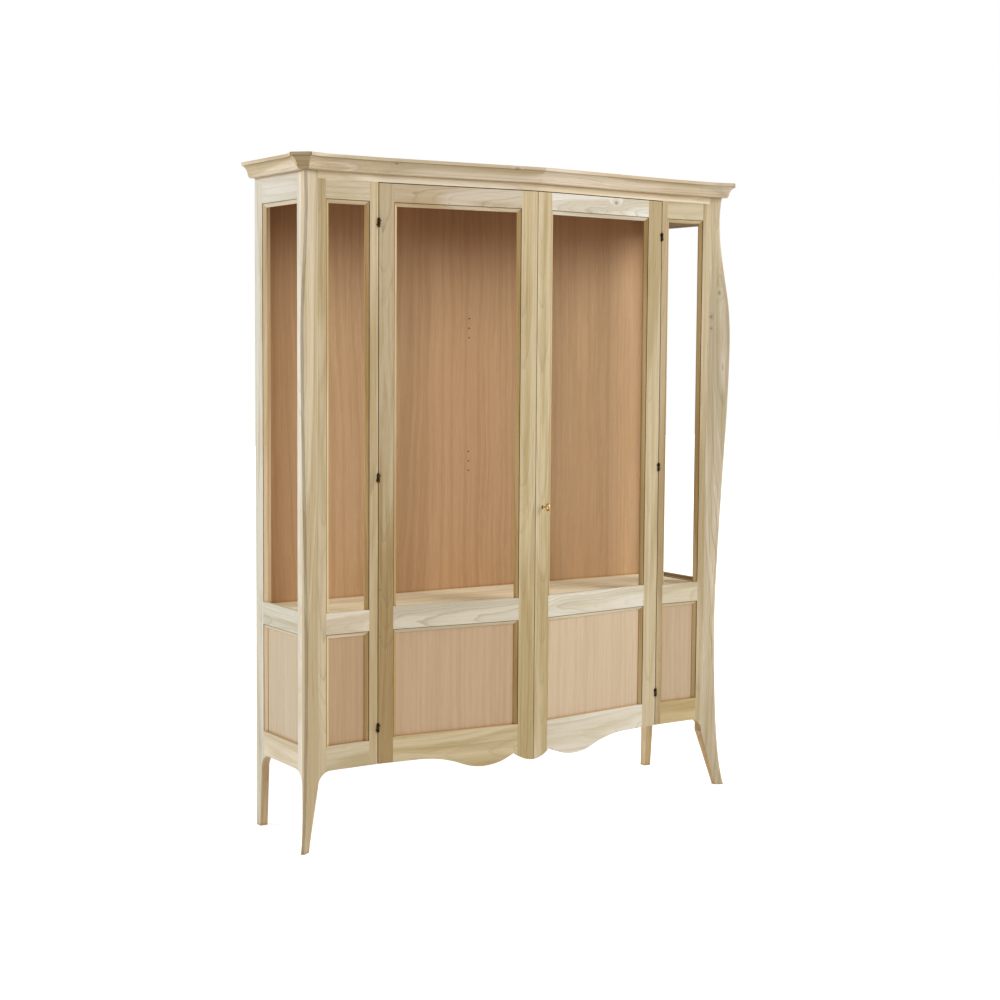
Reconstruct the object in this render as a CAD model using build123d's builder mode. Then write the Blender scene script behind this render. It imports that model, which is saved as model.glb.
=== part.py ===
"""Two door display cabinet in raw wood, with bombe corner posts and a shallow V front.

All sizes are in millimetres.  X runs along the front, Y from front to back, Z up.
The origin is on the floor, under the middle of the cabinet's overall box.
"""
from build123d import *
import os
from collections import namedtuple
from math import atan2, cos, hypot, radians, sin, tan

os.makedirs("parts", exist_ok=True)

# Case
body_half = 792.0  # from the middle to the outer face of a side frame
case_depth = 352.0  # from the face of the side lights to the back
frame_top = 2047.5  # underside of the cornice
frame_t = 22.0  # thickness of every rail and stile
rear_post_t = 26.0  # thickness of a rear post across the cabinet

# Heights shared by the doors, the side lights and the side frames
head_rail_h = 22.5
top_rail_w = 58.0
mid_bottom = 655.0
door_mid_top = 727.0
light_mid_top = 721.0
side_mid_top = 725.0
door_base_top = 315.5
case_base_top = 312.0
apron_z = 236.0  # straight underside of the frames
leg_top = 191.0  # where the free part of a leg starts

# Front plan: the doors meet at a shallow point in front of the side lights
hinge_x = 548.0
door_bow = 57.0
bend_radius = 400.0  # eases the bends of the head rail and the cornice
door_gap = 2.5

# Stile faces; a stile's moulding stands inside its face width, between the rails
light_stile_outer = 28.0
light_stile_hinge_left = 31.0
light_stile_hinge_right = 24.5
side_stile = 28.0
rear_post_w = 52.0
rear_leg_w = 38.0
rear_foot_w = 24.0
apron_radius = 45.0

# Doors
door_stile_left = 51.5
door_stile_right = 62.0
door_meeting_stile = 58.5
meeting_gap = 2.0
scallop_start = 140.0
scallop_lobe = (370.0, 191.5)
scallop_cusp = (481.0, 224.0)
scallop_middle_z = 195.0

# Corner posts: square inner part, ruled faces out to a chamfered nose
post_square = 36.0
nose_chamfer = 7.0
foot_inset = 9.0  # how far out the inner faces of the foot have moved
nose_rise = (  # height above the floor, reach of the nose past both faces
    (0.0, 40.5), (80.0, 29.0), (200.0, 20.5), (380.0, 14.6), (560.0, 12.3), (760.0, 15.2),
)
nose_fall = (  # depth below the cornice, reach of the nose
    (1047.5, 22.8), (777.5, 32.4), (527.5, 38.0), (387.5, 34.8), (247.5, 20.2), (157.5, 11.6),
    (87.5, 8.8), (0.0, 13.0),
)

# Mouldings and joints
moulding_w = 12.5
moulding_d = 9.0
quirk_w = 2.0
quirk_d = 3.5
bead_set = 1.5  # how far the top of the bevel lies below the face
rebate_w = 9.0
rebate_front = 12.0  # wood left in front of the rebate for a pane
panel_t = 8.0
panel_setback = 10.5
groove_d = 8.0
fit = 0.2
tenon_t = 8.0
tenon_l = 18.0
tenon_shoulder = 12.0

# Cornice
cornice_h = 46.5
cornice_out = 45.0
cornice_in = 18.0
cornice_lip = 10.0
flare_radius = 150.0

# Boards
top_board_t = 22.5
shelf_t = 22.0
shelf_top = 712.0
bottom_board_t = 18.0
bottom_board_top = 307.0
back_panel_t = 8.0
back_inset = 14.0  # front of the back panel, ahead of the back of the case
back_rebate_w = 10.0
rear_rail_t = 20.0
board_gap = 2.0  # between a board and the inside of a door
peg_pitch = 32.0
peg_hole_d = 5.0
peg_hole_z = (1593.0, 1145.0)
peg_column_x = -5.3

# Hinges
hinge_from_light = 63.0  # top hinge below the top of the lights
hinge_low_z = 350.0
barrel_d = 8.5
barrel_half = 13.0
barrel_gap = 0.4
barrel_proud = 1.6  # barrel centre in front of the face
barrel_relief = 0.35
pin_d = 4.0
pin_reach = 9.0
pin_fit = 0.06
stem_d = 5.0
stem_l = 22.0
stem_angle = 28.0

# Lock, key and bolts
lock_z = 1018.0
lock_from_edge = 31.0
lock_case_w = 42.0
lock_case_h = 60.0
lock_case_t = 11.0
lock_bolt_h = 18.0
lock_bolt_t = 5.0
lock_bolt_l = 20.0
lock_throw = 10.0
keyhole_d = 7.0
keyhole_slot_w = 3.0
keyhole_slot_l = 9.0
key_shank_d = 4.4
key_shank_l = 36.0
key_fit = 0.1
key_bow_w = 17.0
key_bow_h = 25.0
key_bow_t = 2.4
bolt_d = 7.0
bolt_l = 60.0
bolt_throw = 14.0
bolt_from_edge = 26.0
bolt_standoff = 10.0  # bolt centre behind the inside of the door
bolt_hole_fit = 1.6
strike_fit = 0.5
guide_w = 22.0
guide_l = 44.0
guide_fit = 0.25
knob_d = 6.0
knob_l = 9.0

# Values worked out from the sizes above
door_angle = atan2(door_bow, hinge_x)
door_length = hypot(door_bow, hinge_x)
bow_reach = door_bow - bend_radius * (1 / cos(door_angle) - 1) + cornice_out
face_y = (bow_reach - case_depth) / 2  # face of the side lights
back_y = face_y + case_depth
overall_height = frame_top + cornice_h
rail_top = frame_top - head_rail_h
door_top = rail_top - door_gap
joint_x = body_half - post_square
light_top = rail_top - top_rail_w
back_face = case_depth - back_inset
nose_curve = nose_rise + tuple((frame_top - drop, reach) for drop, reach in nose_fall)
top_reach = nose_curve[-1][1]
hinge_top_z = light_top - hinge_from_light
hinge_z = (hinge_top_z, (hinge_top_z + hinge_low_z) / 2, hinge_low_z)
barrel_r = barrel_d / 2
barrel_y = face_y - barrel_proud
back_bottom = bottom_board_top - bottom_board_t
lock_u = door_length - lock_from_edge
case_near = frame_t - lock_case_t
bolt_near = case_near + (lock_case_t - lock_bolt_t) / 2

SIDES = ((-1, "left"), (1, "right"))


def save(piece, name):
    """Label a finished piece and write its STEP file."""
    piece.part.label = name
    export_step(piece.part, f"parts/{name}.step")


def front_plane():
    """Face of the side lights: local x is X, local y is Z."""
    return Plane(origin=(0, face_y, 0), x_dir=(1, 0, 0), z_dir=(0, -1, 0))


def side_plane(side):
    """Outer face of a side frame: local x is the depth from the front, times side."""
    return Plane(origin=(side * body_half, face_y, 0), x_dir=(0, side, 0), z_dir=(side, 0, 0))


def door_plane(side):
    """Face of a door, with its origin on the hinge line: local x is -side times the distance."""
    c, s = cos(door_angle), sin(door_angle)
    return Plane(origin=(side * hinge_x, face_y, 0), x_dir=(c, side * s, 0), z_dir=(side * s, -c, 0))


def bolt_centre():
    """Plan position of the two bolts on the left door."""
    place = door_plane(-1).from_local_coords((door_length - bolt_from_edge, 0, -frame_t - bolt_standoff))
    return (place.X, place.Y)


def strike_depths():
    """Depths behind the front plane that the lock bolt sweeps, widened by its clearance."""
    near_end = door_length - meeting_gap / 2
    rest = door_plane(1).from_local_coords((-near_end, 0, -bolt_near - lock_bolt_t))
    thrown = door_plane(1).from_local_coords((-near_end - lock_throw, 0, -bolt_near))
    return thrown.Y - face_y - strike_fit, rest.Y - face_y + strike_fit


def slab(plane, x0, x1, z0, z1, near, far, mode=Mode.ADD):
    """A rectangular block between two depths behind a plane, for the part being built."""
    with BuildSketch(plane.offset(-near)) as face:
        with Locations(((x0 + x1) / 2, (z0 + z1) / 2)):
            Rectangle(abs(x1 - x0), z1 - z0)
    extrude(face.sketch, amount=near - far, mode=mode)


def sign(value):
    """Direction of a span along its plane."""
    return 1 if value > 0 else -1


# One frame: its plane, the face edges of its two stiles beside the opening, and its rail heights
Frame = namedtuple("Frame", "plane start end head mid_top base_top")


def frame_openings(frame):
    """Height range of the light and of the panel below it, between the faces of the rails."""
    return ((frame.mid_top, light_top), (frame.base_top, mid_bottom))


def frame_rails(frame):
    """Name and height range of the face of each rail."""
    return (("top", light_top, frame.head), ("mid", mid_bottom, frame.mid_top),
            ("bottom", apron_z, frame.base_top))


def inset(frame, distance):
    """The two ends of an opening, moved towards its middle."""
    step = distance * sign(frame.end - frame.start)
    return frame.start + step, frame.end - step


def cut_moulding(frame, low, high):
    """Cut a quirk and a bevel round the sides and top of one opening, down to the rail below."""
    width = abs(frame.end - frame.start)
    middle_x = (frame.start + frame.end) / 2

    def outline(inside, drop=0.0):
        with Locations((middle_x, (low - drop + high - inside) / 2)):
            Rectangle(width - 2 * inside, high - inside - low + drop,
                      mode=Mode.SUBTRACT if drop else Mode.ADD)

    with BuildSketch(frame.plane) as quirk:
        outline(0)
        outline(quirk_w, 1)
    extrude(quirk.sketch, amount=-quirk_d, mode=Mode.SUBTRACT)
    with BuildSketch(frame.plane) as setback:
        outline(quirk_w)
    extrude(setback.sketch, amount=-bead_set, mode=Mode.SUBTRACT)
    with BuildSketch(frame.plane.offset(-bead_set)) as outer:
        outline(quirk_w)
    with BuildSketch(frame.plane.offset(-moulding_d)) as inner:
        outline(moulding_w)
    loft([outer.sketch.face(), inner.sketch.face()], ruled=True, mode=Mode.SUBTRACT)


def cut_frame(frame):
    """Mouldings of both openings, the rebate for a pane and the groove for a panel."""
    light, lower = frame_openings(frame)
    cut_moulding(frame, *light)
    slab(frame.plane, *inset(frame, moulding_w - rebate_w), light[0] - rebate_w,
         light[1] - moulding_w + rebate_w, rebate_front, frame_t + 6, Mode.SUBTRACT)
    cut_moulding(frame, *lower)
    slab(frame.plane, *inset(frame, moulding_w - groove_d), lower[0] - groove_d,
         lower[1] - moulding_w + groove_d, panel_setback, panel_setback + panel_t + fit, Mode.SUBTRACT)


def stile_shape(frame, near, outer_edge):
    """Face of a stile: cut the outline to its width and add the mitred strips for the moulding."""
    edge = frame.start if near else frame.end
    strip = inset(frame, moulding_w)[0 if near else 1]
    with Locations(((outer_edge + edge) / 2, frame_top / 2)):
        Rectangle(abs(outer_edge - edge), frame_top, mode=Mode.INTERSECT)
    for low, high in frame_openings(frame):
        Polygon((edge, low), (strip, low), (strip, high - moulding_w), (edge, high), align=None)


def rail_points(frame, low, high):
    """Face of a rail with the mitred strip for the moulding below it."""
    a, b = inset(frame, moulding_w)
    return [(frame.start, high), (frame.end, high), (frame.end, low), (b, low - moulding_w),
            (a, low - moulding_w), (frame.start, low)]


def tenon(frame, low, high, grow=0.0, mode=Mode.ADD):
    """Stub tenons past both ends of a rail, or the mortises that take them."""
    near = (frame_t - tenon_t) / 2 - grow
    past, past_end = inset(frame, -tenon_l - grow)
    z0, z1 = low + tenon_shoulder - grow, high - tenon_shoulder + grow
    slab(frame.plane, past, frame.start, z0, z1, near, frame_t - near, mode)
    slab(frame.plane, frame.end, past_end, z0, z1, near, frame_t - near, mode)


def cut_mortises(frame):
    """Mortises for the three rails of a frame."""
    for _, low, high in frame_rails(frame):
        tenon(frame, low, high, fit, Mode.SUBTRACT)


def panel(frame):
    """A lower panel with its edges in the grooves."""
    low, high = frame_openings(frame)[1]
    slab(frame.plane, *inset(frame, moulding_w - groove_d + fit), low - groove_d + fit,
         high - moulding_w + groove_d - fit, panel_setback + fit / 2, panel_setback + fit / 2 + panel_t)


# Corner posts, each lofted through its sections and tapered below the frames
def post_section(side, z, reach):
    """Section of a corner post: a square with a chamfered nose pulled out by reach."""
    corner = ((-post_square, 0), (reach - nose_chamfer, reach), (reach, reach - nose_chamfer),
              (0, -post_square), (-post_square, -post_square))
    with BuildSketch(Plane.XY.offset(z)) as section:
        with BuildLine():
            Polyline(*[(side * (body_half + u), face_y - v) for u, v in corner], close=True)
        make_face()
    return section.sketch.face()


for side, side_name in SIDES:
    with BuildPart() as corner_post:
        loft([post_section(side, z, reach) for z, reach in nose_curve])
        slope = (foot_inset + post_square) / leg_top
        inner_corner = (side * joint_x, face_y + post_square, leg_top)
        for outward in (Vector(side, 0, 0), Vector(0, -1, 0)):
            with BuildSketch(Plane(origin=inner_corner, x_dir=outward,
                                   z_dir=outward.cross(Vector(0, 0, 1)))) as wedge:
                with BuildLine():
                    Polyline((-20, 0), (0, 0), (slope * (leg_top + 20), -leg_top - 20),
                             (-20, -leg_top - 20), close=True)
                make_face()
            extrude(wedge.sketch, amount=120, both=True, mode=Mode.SUBTRACT)
    save(corner_post, f"corner_post_{side_name}")


# Side lights: two stiles, three rails and a lower panel on each side of the doors
def light_outline(side):
    """Outline of a side light's frame, with the round of the apron into the leg."""
    inner = hinge_x + door_gap / 2
    with BuildSketch(front_plane()) as outline:
        with BuildLine():
            Polyline((side * joint_x, leg_top), (side * joint_x, rail_top), (side * inner, rail_top),
                     (side * inner, apron_z), (side * (joint_x - apron_radius), apron_z))
            RadiusArc((side * (joint_x - apron_radius), apron_z), (side * joint_x, leg_top),
                      -side * apron_radius)
        make_face()
    return outline


def cut_hinge_seats(side, stem_dir, stem_drop):
    """Hollows for the three barrels in a hinge stile, and the bores for their stems."""
    for z in hinge_z:
        with BuildSketch(Plane.XY.offset(z - barrel_half - 1)) as relief:
            with Locations((side * hinge_x, barrel_y)):
                Circle(barrel_r + barrel_relief)
        extrude(relief.sketch, amount=2 * barrel_half + 2, mode=Mode.SUBTRACT)
        with BuildSketch(Plane(origin=(side * hinge_x, barrel_y, z + stem_drop), z_dir=stem_dir)) as bore:
            Circle(stem_d / 2 + fit)
        extrude(bore.sketch, amount=stem_l + fit, mode=Mode.SUBTRACT)


def stem_direction(side, on_door):
    """Way a hinge stem runs into its stile, leaning back from the face."""
    lean = radians(stem_angle)
    if on_door:
        along = Vector(-side * cos(door_angle), -sin(door_angle), 0)
        back = Vector(-side * sin(door_angle), cos(door_angle), 0)
    else:
        along = Vector(side, 0, 0)
        back = Vector(0, 1, 0)
    return along * cos(lean) + back * sin(lean)


for side, side_name in SIDES:
    outer_edge = side * joint_x
    hinge_edge = side * (hinge_x + door_gap / 2)
    hinge_stile_w = light_stile_hinge_left if side < 0 else light_stile_hinge_right
    light = Frame(front_plane(), side * (hinge_x + hinge_stile_w), side * (joint_x - light_stile_outer),
                  rail_top, light_mid_top, case_base_top)

    for name, near, edge in (("hinge", True, hinge_edge), ("outer", False, outer_edge)):
        with BuildPart() as stile:
            with BuildSketch(light.plane) as shape:
                add(light_outline(side).sketch_local)
                stile_shape(light, near, edge)
            extrude(amount=-frame_t)
            cut_frame(light)
            cut_mortises(light)
            if near:
                cut_hinge_seats(side, stem_direction(side, False), -barrel_half / 2)
        save(stile, f"light_{name}_stile_{side_name}")

    for name, low, high in frame_rails(light):
        with BuildPart() as rail:
            with BuildSketch(light.plane) as shape:
                with BuildLine():
                    Polyline(*rail_points(light, low, high), close=True)
                make_face()
                add(light_outline(side).sketch_local, mode=Mode.INTERSECT)
            extrude(amount=-frame_t)
            cut_frame(light)
            tenon(light, low, high)
        save(rail, f"light_{name}_rail_{side_name}")

    with BuildPart() as light_panel:
        panel(light)
    save(light_panel, f"light_panel_{side_name}")


# Side frames: a front stile against the corner post, three rails, a panel and the rear post
def side_outline(side):
    """Outline of a side frame with its rear leg, as depth from the front and height."""
    a, b = post_square, case_depth
    leg_front = b - rear_leg_w
    with BuildSketch(side_plane(side)) as outline:
        with BuildLine():
            Polyline((side * a, leg_top), (side * a, frame_top), (side * b, frame_top), (side * b, 0),
                     (side * (b - rear_foot_w), 0), (side * leg_front, leg_top))
            RadiusArc((side * leg_front, leg_top), (side * (leg_front - apron_radius), apron_z),
                      side * apron_radius)
            Line((side * (leg_front - apron_radius), apron_z), (side * (a + apron_radius), apron_z))
            RadiusArc((side * (a + apron_radius), apron_z), (side * a, leg_top), side * apron_radius)
        make_face()
    return outline


for side, side_name in SIDES:
    front_edge = side * post_square
    rear_edge = side * case_depth
    flank = Frame(side_plane(side), side * (post_square + side_stile), side * (case_depth - rear_post_w),
                  frame_top, side_mid_top, case_base_top)

    with BuildPart() as side_front_stile:
        with BuildSketch(flank.plane) as shape:
            add(side_outline(side).sketch_local)
            stile_shape(flank, True, front_edge)
        extrude(amount=-frame_t)
        cut_frame(flank)
        cut_mortises(flank)
    save(side_front_stile, f"side_front_stile_{side_name}")

    with BuildPart() as rear_post:
        with BuildSketch(flank.plane) as shape:
            add(side_outline(side).sketch_local)
            stile_shape(flank, False, rear_edge)
        extrude(amount=-rear_post_t)
        cut_frame(flank)
        cut_mortises(flank)
        slab(flank.plane, side * back_face, side * (case_depth + 5), back_bottom, rail_top,
             rear_post_t - back_rebate_w, rear_post_t + 5, Mode.SUBTRACT)
    save(rear_post, f"rear_post_{side_name}")

    for name, low, high in frame_rails(flank):
        with BuildPart() as rail:
            with BuildSketch(flank.plane) as shape:
                with BuildLine():
                    Polyline(*rail_points(flank, low, high), close=True)
                make_face()
                add(side_outline(side).sketch_local, mode=Mode.INTERSECT)
            extrude(amount=-frame_t)
            cut_frame(flank)
            tenon(flank, low, high)
        save(rail, f"side_{name}_rail_{side_name}")

    with BuildPart() as side_panel:
        panel(flank)
    save(side_panel, f"side_panel_{side_name}")


# Head rail and cornice, whose plan follows the side lights, the doors and the flare of the posts
nose_front = (body_half + top_reach - nose_chamfer, face_y - top_reach)
nose_side = (body_half + top_reach, face_y - top_reach + nose_chamfer)


def plan_arc(reach):
    """Front line of the case between the posts, moved forward by reach, with eased bends."""
    slope = tan(door_angle / 2)
    return FilletPolyline(
        (-joint_x, face_y - reach), (-hinge_x - reach * slope, face_y - reach),
        (0, face_y - door_bow - reach / cos(door_angle)),
        (hinge_x + reach * slope, face_y - reach), (joint_x, face_y - reach),
        radius=[bend_radius, bend_radius, bend_radius])


with BuildPart() as head_rail:
    with BuildSketch(Plane.XY.offset(rail_top)):
        with BuildLine():
            plan_arc(0)
            Polyline((joint_x, face_y), (joint_x, face_y + frame_t), (-joint_x, face_y + frame_t),
                     (-joint_x, face_y))
        make_face()
    extrude(amount=head_rail_h)
    with BuildSketch(Plane.XY.offset(rail_top)):
        with Locations(bolt_centre()):
            Circle(bolt_d / 2 + bolt_hole_fit)
    extrude(amount=bolt_throw + 1, mode=Mode.SUBTRACT)
save(head_rail, "head_rail")


def cornice_profile(plane):
    """Moulding profile: lip, step, cove and a small ovolo, with local x outwards and y up."""
    lip_z = cornice_h - cornice_lip
    with BuildSketch(plane) as profile:
        with BuildLine():
            Polyline((-cornice_in, 0), (15, 0))
            ThreePointArc((15, 0), (19.6, 2.0), (21.5, 6.5))
            Polyline((21.5, 6.5), (21.5, 9), (23, 9))
            ThreePointArc((23, 9), (27.5, 23), (38, lip_z - 2))
            Polyline((38, lip_z - 2), (40, lip_z - 2), (40, lip_z), (cornice_out, lip_z),
                     (cornice_out, cornice_h), (-cornice_in, cornice_h), (-cornice_in, 0))
        make_face()
    return profile


def cornice_run(points, radii, extend_start, extend_end):
    """Sweep the moulding along a line in plan, lengthened past its ends for the mitres."""
    first, last = Vector(*points[0]), Vector(*points[-1])
    out_start = (first - Vector(*points[1])).normalized()
    out_end = (last - Vector(*points[-2])).normalized()
    points = [first + out_start * extend_start, *points[1:-1], last + out_end * extend_end]
    corners = [(p[0], p[1]) if isinstance(p, tuple) else (p.X, p.Y) for p in points]
    with BuildLine(Plane.XY.offset(frame_top)) as path:
        if len(corners) > 2:
            FilletPolyline(*corners, radius=radii)
        else:
            Line(*corners)
    wire = path.wires()[0]
    heading = wire % 0
    profile_plane = Plane(origin=wire @ 0, x_dir=heading.cross(Vector(0, 0, 1)), z_dir=-heading)
    sweep(cornice_profile(profile_plane).sketch, path=wire)


def mitre(point, before, after, keep_after):
    """Plane through a corner of the plan, halfway between the runs before and after it."""
    here = Vector(*point)
    along = (here - Vector(*before)).normalized() + (Vector(*after) - here).normalized()
    if not keep_after:
        along = along * -1
    return Plane(origin=(here.X, here.Y, frame_top), z_dir=along)


def flip(point, side):
    """The same plan point on the left or the right of the cabinet."""
    return (side * point[0], point[1])


front_joint = (joint_x, face_y)
side_joint = (body_half, face_y + post_square)
side_end = (body_half, back_y)
mitre_spare = 25.0

with BuildPart() as cornice_front:
    cornice_run([flip(nose_front, -1), flip(front_joint, -1), (-hinge_x, face_y), (0, face_y - door_bow),
                 (hinge_x, face_y), front_joint, nose_front],
                [flare_radius, bend_radius, bend_radius, bend_radius, flare_radius],
                mitre_spare, mitre_spare)
    split(bisect_by=mitre(flip(nose_front, -1), flip(nose_side, -1), flip(front_joint, -1), True))
    split(bisect_by=mitre(nose_front, front_joint, nose_side, False))
    for side in (-1, 1):
        split(bisect_by=Plane(origin=(side * body_half, face_y, 0), z_dir=(-side, -1, 0)))
save(cornice_front, "cornice_front")

for side, side_name in SIDES:
    ends = [flip(p, side) for p in (side_end, side_joint, nose_side)]
    corner_a, corner_b = flip(nose_side, side), flip(nose_front, side)
    after_b = flip(front_joint, side)

    with BuildPart() as cornice_side:
        if side < 0:
            cornice_run(ends, [flare_radius], 0, mitre_spare)
        else:
            cornice_run(ends[::-1], [flare_radius], mitre_spare, 0)
        split(bisect_by=mitre(corner_a, ends[1], corner_b, False))
        split(bisect_by=Plane(origin=(side * body_half, face_y, 0), z_dir=(side, 1, 0)))
    save(cornice_side, f"cornice_side_{side_name}")

    with BuildPart() as cornice_corner:
        if side < 0:
            cornice_run([corner_a, corner_b], [], mitre_spare, mitre_spare)
        else:
            cornice_run([corner_b, corner_a], [], mitre_spare, mitre_spare)
        split(bisect_by=mitre(corner_a, ends[1], corner_b, True))
        split(bisect_by=mitre(corner_b, corner_a, after_b, False))
    save(cornice_corner, f"cornice_corner_{side_name}")


# Boards: the top, the fixed shelf behind the mid rails, the bottom and the back
inner_half = body_half - frame_t
door_back = frame_t / cos(door_angle) + board_gap
door_bend = hinge_x - (door_back - frame_t) / tan(door_angle)


def board_points(half, back):
    """Plan of a board whose front edge follows the inside of the side lights and doors."""
    inside = face_y + frame_t
    right = [(0, face_y - door_bow + door_back), (door_bend, inside), (joint_x, inside),
             (joint_x, face_y + post_square), (half, face_y + post_square), (half, face_y + back)]
    return right + [(-x, y) for x, y in reversed(right[1:])]


def notch_rear_posts(half, z, thickness):
    """Clear the rear posts, which are thicker than the side rails."""
    for side in (-1, 1):
        with BuildSketch(Plane.XY.offset(z)) as notch:
            with Locations((side * half, face_y + case_depth - rear_post_w / 2)):
                Rectangle(2 * (rear_post_t - frame_t), rear_post_w)
        extrude(notch.sketch, amount=thickness, mode=Mode.SUBTRACT)


with BuildPart() as top_board:
    with BuildSketch(Plane.XY.offset(rail_top)):
        with BuildLine():
            Polyline(*[(x, max(y, face_y + frame_t)) for x, y in board_points(inner_half, case_depth)],
                     close=True)
        make_face()
    extrude(amount=top_board_t)
    notch_rear_posts(inner_half, rail_top, top_board_t)
save(top_board, "top_board")

with BuildPart() as mid_shelf:
    with BuildSketch(Plane.XY.offset(shelf_top - shelf_t)):
        with BuildLine():
            Polyline(*board_points(inner_half, back_face), close=True)
        make_face()
    extrude(amount=shelf_t)
    notch_rear_posts(inner_half, shelf_top - shelf_t, shelf_t)
save(mid_shelf, "mid_shelf")

with BuildPart() as bottom_board:
    with BuildSketch(Plane.XY.offset(bottom_board_top - bottom_board_t)):
        with BuildLine():
            Polyline(*board_points(inner_half, back_face), close=True)
        make_face()
    extrude(amount=bottom_board_t)
    notch_rear_posts(inner_half, bottom_board_top - bottom_board_t, bottom_board_t)
    with BuildSketch(Plane.XY.offset(bottom_board_top)):
        with Locations(bolt_centre()):
            Circle(bolt_d / 2 + bolt_hole_fit)
    extrude(amount=-bolt_throw - 1, mode=Mode.SUBTRACT)
save(bottom_board, "bottom_board")

back_half = body_half - rear_post_t + back_rebate_w - fit
with BuildPart() as back_panel:
    with BuildSketch(Plane.XZ.offset(-(face_y + back_face))):
        with Locations((0, (back_bottom + rail_top) / 2)):
            Rectangle(2 * back_half, rail_top - back_bottom)
        for z in peg_hole_z:
            with Locations((peg_column_x, z)):
                with GridLocations(peg_pitch, peg_pitch, 1, 3):
                    Circle(peg_hole_d / 2, mode=Mode.SUBTRACT)
    extrude(amount=-back_panel_t)
save(back_panel, "back_panel")

rail_half = body_half - rear_post_t
with BuildPart() as rear_bottom_rail:
    with BuildSketch(Plane.XZ.offset(-(face_y + back_face - rear_rail_t))):
        with Locations((0, (apron_z + back_bottom) / 2)):
            Rectangle(2 * rail_half, back_bottom - apron_z)
    extrude(amount=-rear_rail_t)
save(rear_bottom_rail, "rear_bottom_rail")


# Doors: two stiles, three rails and a panel, with the scalloped lower edge
def door_outline(side):
    """Outline of a door, from the hinge gap to the meeting gap."""
    start_u, end_u = door_gap / 2, door_length - meeting_gap / 2
    lobe_u, lobe_z = scallop_lobe
    cusp_u, cusp_z = scallop_cusp
    lobe_radius = ((cusp_u - lobe_u) ** 2 + (cusp_z - lobe_z) ** 2) / (2 * (cusp_z - lobe_z))
    drop, run = apron_z - lobe_z, lobe_u - scallop_start
    turn = 2 * atan2(drop, run)
    upper_radius = run / sin(turn) - lobe_radius
    join = (scallop_start + upper_radius * sin(turn), apron_z - upper_radius * (1 - cos(turn)))
    middle_rise = cusp_z - scallop_middle_z
    middle_radius = ((door_length - cusp_u) ** 2 + middle_rise ** 2) / (2 * middle_rise)
    near_end = door_length - end_u
    end_z = scallop_middle_z + middle_radius - (middle_radius ** 2 - near_end ** 2) ** 0.5

    def at(u, z):
        return (-side * u, z)

    with BuildSketch(door_plane(side)) as outline:
        with BuildLine():
            Polyline(at(end_u, end_z), at(end_u, door_top), at(start_u, door_top), at(start_u, apron_z),
                     at(scallop_start, apron_z))
            RadiusArc(at(scallop_start, apron_z), at(*join), -side * upper_radius)
            RadiusArc(at(*join), at(cusp_u, cusp_z), side * lobe_radius)
            RadiusArc(at(cusp_u, cusp_z), at(end_u, end_z), side * middle_radius)
        make_face()
    return outline


for side, side_name in SIDES:
    hinge_edge = -side * door_gap / 2
    meeting_edge = -side * (door_length - meeting_gap / 2)
    hinge_stile_w = door_stile_left if side < 0 else door_stile_right
    door = Frame(door_plane(side), -side * hinge_stile_w, -side * (door_length - door_meeting_stile),
                 door_top, door_mid_top, door_base_top)

    with BuildPart() as hinge_stile:
        with BuildSketch(door.plane) as shape:
            add(door_outline(side).sketch_local)
            stile_shape(door, True, hinge_edge)
        extrude(amount=-frame_t)
        cut_frame(door)
        cut_mortises(door)
        cut_hinge_seats(side, stem_direction(side, True), barrel_half / 2)
    save(hinge_stile, f"door_hinge_stile_{side_name}")

    # The right stile holds the lock, the left one takes its bolt
    with BuildPart() as meeting_stile:
        with BuildSketch(door.plane) as shape:
            add(door_outline(side).sketch_local)
            stile_shape(door, False, meeting_edge)
        extrude(amount=-frame_t)
        cut_frame(door)
        cut_mortises(door)
        split(bisect_by=Plane(origin=(side * meeting_gap / 2, 0, 0), z_dir=(side, 0, 0)))
        if side > 0:
            slab(door.plane, -(lock_u - lock_case_w / 2), -door_length, lock_z - lock_case_h / 2 - fit,
                 lock_z + lock_case_h / 2 + fit, case_near - fit, frame_t + 1, Mode.SUBTRACT)
            with BuildSketch(door.plane) as keyhole:
                with Locations((-lock_u, lock_z)):
                    Circle(keyhole_d / 2)
                with Locations((-lock_u, lock_z - keyhole_slot_l / 2)):
                    Rectangle(keyhole_slot_w, keyhole_slot_l)
            extrude(keyhole.sketch, amount=-frame_t, mode=Mode.SUBTRACT)
        else:
            slab(front_plane(), -lock_throw - 3, meeting_gap, lock_z - lock_bolt_h / 2 - 1,
                 lock_z + lock_bolt_h / 2 + 1, *strike_depths(), Mode.SUBTRACT)
    save(meeting_stile, f"door_meeting_stile_{side_name}")

    for name, low, high in frame_rails(door):
        with BuildPart() as rail:
            with BuildSketch(door.plane) as shape:
                with BuildLine():
                    Polyline(*rail_points(door, scallop_lobe[1] if name == "bottom" else low, high),
                             close=True)
                make_face()
                add(door_outline(side).sketch_local, mode=Mode.INTERSECT)
            extrude(amount=-frame_t)
            cut_frame(door)
            tenon(door, low, high)
        save(rail, f"door_{name}_rail_{side_name}")

    with BuildPart() as door_panel:
        panel(door)
    save(door_panel, f"door_panel_{side_name}")


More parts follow.
